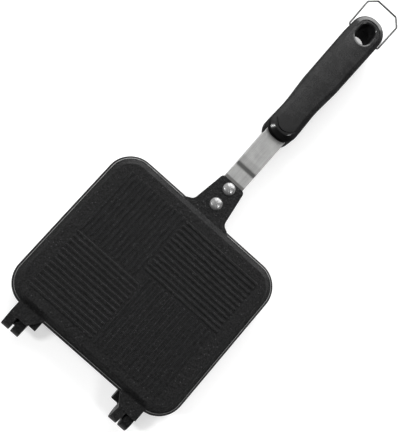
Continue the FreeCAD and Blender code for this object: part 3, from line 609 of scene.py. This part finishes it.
rivet = {
    "sides": 32,
    "shankRadius": 2.5 * mm,
    "headRadius": 4.75 * mm,
    "headHeight": 2.2 * mm,
    "tailRadius": 4 * mm,
    "tailHeight": 1.3 * mm,
    # each ring's radius and height, as shares of the head's or the tail's
    "headRings": ((1, 0), (1.02, 0.1), (0.99, 0.32), (0.9, 0.56),
                  (0.76, 0.78), (0.56, 0.93), (0.32, 1), (0.1, 1.02)),
    "tailRings": ((1, 0), (1.02, 0.3), (0.98, 0.75), (0.8, 1.02), (0.45, 1.03), (0.12, 1)),
    "endFacing": 0.9,              # how far up or down the shank's end faces look
    "smoothLevels": 2,
    "smoothAngle": 45,
    "hammerSize": 2.4 * mm,
    "hammerDepth": 0.3 * mm,
    "hammerDetail": 1,
    "hammerLevel": 0.6,            # texture value that leaves the surface where it is
    "hammerClear": 0.6 * mm,       # height by the shank that stays even
}


# one rivet: shank, domed head and flattened tail, both a little uneven from the setting tool
def modelRivet():
    low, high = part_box("upper_rivets")
    axis = low.x + rivet["headRadius"]
    seat, foot = high.z - rivet["headHeight"], low.z + rivet["tailHeight"]
    centre = (seat + foot) / 2
    bpy.ops.object.select_all(action="DESELECT")
    bpy.ops.mesh.primitive_cylinder_add(vertices=rivet["sides"], radius=rivet["shankRadius"],
                                        depth=seat - foot, location=(axis, 0, centre))
    piece = bpy.context.object
    bpy.ops.object.transform_apply(location=True, rotation=False, scale=False)
    pickFaces(piece, lambda middle, normal: normal.z > rivet["endFacing"])
    pushRings(axis, rivet["shankRadius"], seat,
              [(radius * rivet["headRadius"], seat + height * rivet["headHeight"])
               for radius, height in rivet["headRings"]])
    pickFaces(piece, lambda middle, normal: normal.z < -rivet["endFacing"] and middle.z < centre)
    pushRings(axis, rivet["shankRadius"], foot,
              [(radius * rivet["tailRadius"], foot - height * rivet["tailHeight"])
               for radius, height in rivet["tailRings"]])
    bpy.ops.object.mode_set(mode="OBJECT")
    smooth = piece.modifiers.new("smooth", "SUBSURF")
    smooth.levels = smooth.render_levels = rivet["smoothLevels"]
    bpy.ops.object.modifier_apply(modifier="smooth")

    top, bottom = seat + rivet["hammerClear"], foot - rivet["hammerClear"]
    bpy.ops.object.vertex_group_add()
    pickFaces(piece, lambda middle, normal: middle.z > top or middle.z < bottom)
    bpy.ops.object.vertex_group_assign()
    bpy.ops.object.mode_set(mode="OBJECT")
    marks = bpy.data.textures.new("settingMarks", "CLOUDS")
    marks.noise_scale = rivet["hammerSize"]
    marks.noise_depth = rivet["hammerDetail"]
    uneven = piece.modifiers.new("uneven", "DISPLACE")
    uneven.texture, uneven.texture_coords = marks, "LOCAL"
    uneven.strength, uneven.mid_level = rivet["hammerDepth"], rivet["hammerLevel"]
    uneven.vertex_group = piece.vertex_groups[0].name
    bpy.ops.object.modifier_apply(modifier="uneven")
    bpy.ops.object.shade_smooth_by_angle(angle=math.radians(rivet["smoothAngle"]))
    piece.data.materials.append(finishes["rivets"])
    return piece, high.x - low.x - 2 * rivet["headRadius"]


# two rivets on the upper half, and the same two turned over on the lower half
firstRivet, spacing = modelRivet()
bpy.ops.object.duplicate(linked=False)
bpy.ops.transform.translate(value=(spacing, 0, 0))
bpy.ops.object.transform_apply(location=True, rotation=False, scale=False)
firstRivet.select_set(True)
bpy.context.view_layer.objects.active = firstRivet
bpy.ops.object.join()
upperPair = bpy.context.object
bpy.ops.object.duplicate(linked=False)
lowerPair = bpy.context.object
bpy.ops.transform.rotate(value=math.pi, orient_axis="X", center_override=(0, 0, pan["joint"]))
bpy.ops.object.transform_apply(location=True, rotation=True, scale=False)
for piece, half in ((upperPair, "upper"), (lowerPair, "lower")):
    piece.name = half + "RivetPair"
    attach(piece, half + "_half")
    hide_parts(half + "_rivets")
print("rivets modelled")


# floor, a plain pale sheet that runs far past the object
sheet = {
    "size": 8.0,
    "height": -0.05 * mm,
    "look": {"Base Color": (0.62, 0.62, 0.62, 1.0), "Roughness": 0.9, "Specular IOR Level": 0.1,
             "Emission Color": (1.0, 1.0, 1.0, 1.0), "Emission Strength": 0.5},
}
bpy.ops.object.select_all(action="DESELECT")
bpy.ops.mesh.primitive_plane_add(size=sheet["size"], location=(0, 0, sheet["height"]))
floor = bpy.context.object
floor.name = "paleFloor"
floor.data.materials.append(newMaterial("paleFloor", sheet["look"])[0])
print("floor laid")


# far lights: where each comes from (turn from +X towards +Y, and height above the floor),
# its strength and how wide it is, with angles in degrees
studio = {
    "handleSide": {"turn": 10, "height": 23, "strength": 4.7, "size": 72},
    "farLeft": {"turn": 120, "height": 49, "strength": 1.65, "size": 10},
    "nearSide": {"turn": -84, "height": 58, "strength": 0.65, "size": 14},
}
for name, light in studio.items():
    turn, height = math.radians(light["turn"]), math.radians(light["height"])
    source = Vector((math.cos(turn) * math.cos(height), math.sin(turn) * math.cos(height),
                     math.sin(height)))
    bpy.ops.object.light_add(type="SUN", location=source,
                             rotation=source.to_track_quat("Z", "Y").to_euler())
    lamp = bpy.context.object
    lamp.name = name
    lamp.data.energy = light["strength"]
    lamp.data.angle = math.radians(light["size"])
print("lights:", len(studio))


# soft room, dim beyond the hinge and bright low down beyond the handle: each change has the
# two directions between which it happens, as their part along X or Y, and two strengths
room = {
    "lengthwise": (-0.45, 0.15, 0.12, 0.55),
    "handleGlow": (0.5, 0.98, 0.0, 0.6),
    "crosswise": (-0.85, 0.9, 0.15, 1.55),
    "backdrop": 0.95,              # what the camera itself sees of it
}
world = bpy.data.worlds.new("softRoom")
world.use_nodes = True
roomTree = world.node_tree
background = roomTree.nodes["Background"].inputs
background["Color"].default_value = (1.0, 1.0, 1.0, 1.0)
towards = splitVector(roomTree, addNode(roomTree, "ShaderNodeTexCoord").outputs["Generated"])
lengthwise = rangeNode(roomTree, towards[0], *room["lengthwise"])
glow = rangeNode(roomTree, towards[0], *room["handleGlow"])
crosswise = rangeNode(roomTree, towards[1], *room["crosswise"])
lit = mathNode(roomTree, "ADD", multiply(roomTree, lengthwise, crosswise), glow)
seen = addNode(roomTree, "ShaderNodeLightPath").outputs["Is Camera Ray"]
unseen = mathNode(roomTree, "SUBTRACT", 1.0, seen)
strength = mathNode(roomTree, "ADD", multiply(roomTree, seen, room["backdrop"]),
                    multiply(roomTree, unseen, lit))
roomTree.links.new(strength, background["Strength"])
bpy.context.scene.world = world
bpy.context.scene.view_settings.view_transform = "Standard"
print("room made")


# camera over the pan, turned so that the handle points to the upper right
view = {
    "place": Vector((-45.0, 27.1, 591.0)) * mm,
    "looking": Vector((0.18718, -0.04215, -0.98143)),
    "upward": Vector((0.73682, 0.66676, 0.11189)),
    "focalPixels": 800,
    "pictureHeight": 432,
    "sensor": 36,
    "nearest": 10 * mm,
}
bpy.ops.object.camera_add(location=view["place"])
camera = bpy.context.object
rightward = view["looking"].cross(view["upward"]).normalized()
upward = rightward.cross(view["looking"])
axes = Matrix((rightward, upward, -view["looking"])).transposed()
camera.matrix_world = Matrix.Translation(view["place"]) @ axes.to_4x4()
camera.data.sensor_width = view["sensor"]
camera.data.lens = view["sensor"] * view["focalPixels"] / view["pictureHeight"]
camera.data.clip_start = view["nearest"]
bpy.context.scene.camera = camera
print("camera set")
